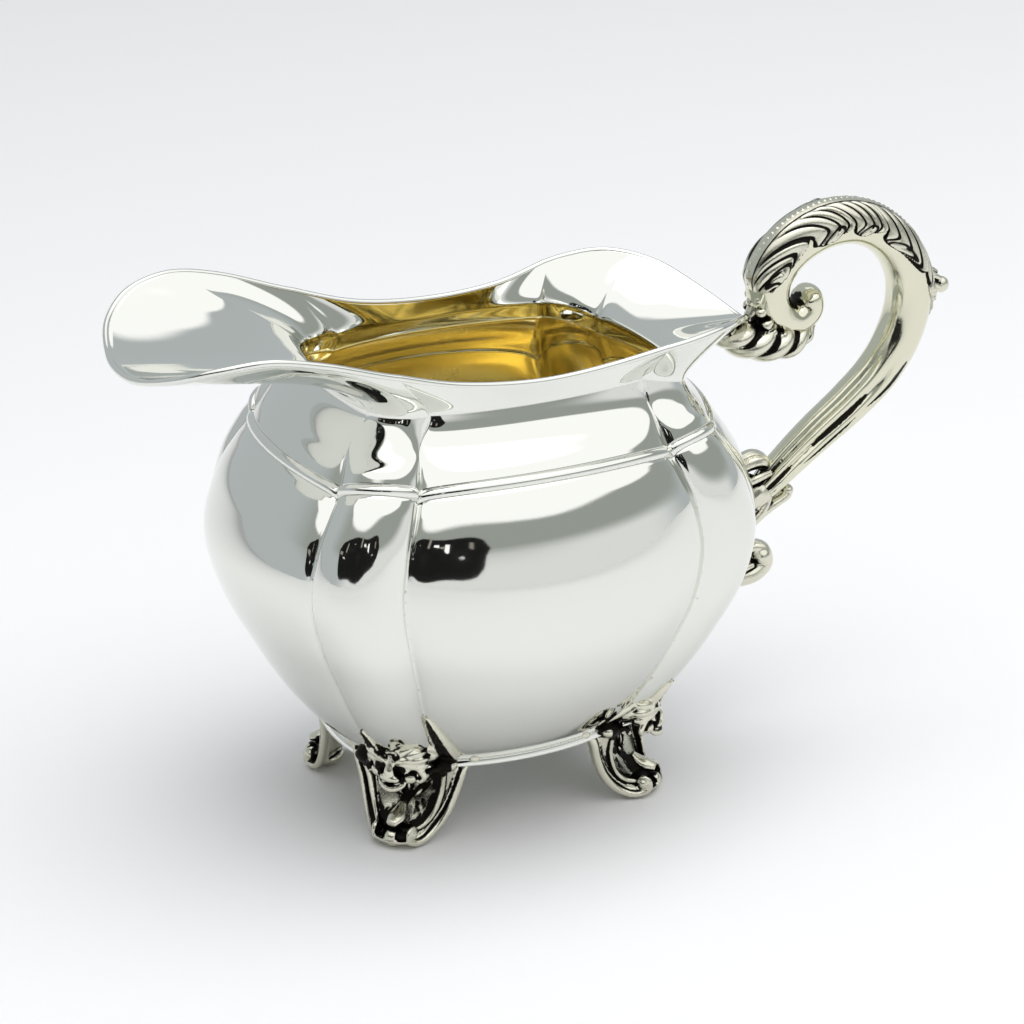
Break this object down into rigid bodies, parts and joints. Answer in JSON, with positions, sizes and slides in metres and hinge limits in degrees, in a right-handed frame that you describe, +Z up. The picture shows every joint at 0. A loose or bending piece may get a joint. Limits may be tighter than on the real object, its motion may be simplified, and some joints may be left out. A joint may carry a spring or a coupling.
{
  "type": "cream jug",
  "caption": "Lobed silver cream jug with a long pouring spout, gilt inside, scroll handle with leaf and shell ornament, and cast scroll feet.",
  "frame": {"origin": "middle of the jug's overall length and width, on the plane the feet stand on", "axes": "+Z up, spout towards -X, handle towards +X"},
  "size_m": [0.162, 0.0816, 0.1018],
  "materials": {
    "silver_sheet": "mirror-polished sheet silver, standing in as chrome",
    "silver_cast": "polished cast silver with dark oxidised recesses",
    "gilt": "satin gilding on the inside of the bowl"
  },
  "bodies": {
    "root": {"bowl_shell": "silver_sheet", "neck_shell": "silver_sheet", "shoulder_moulding": "silver_sheet", "rim_wire": "silver_sheet", "base_plate": "silver_sheet", "handle_arm": "silver_cast", "acanthus_leaf": "silver_cast", "rim_bracket": "silver_cast", "handle_spur": "silver_cast", "handle_socket": "silver_cast", "tail_scroll": "silver_cast", "foot_spout_left": "silver_cast", "foot_spout_right": "silver_cast", "foot_back_left": "silver_cast", "foot_back_right": "silver_cast"}
  },
  "joints": []
}
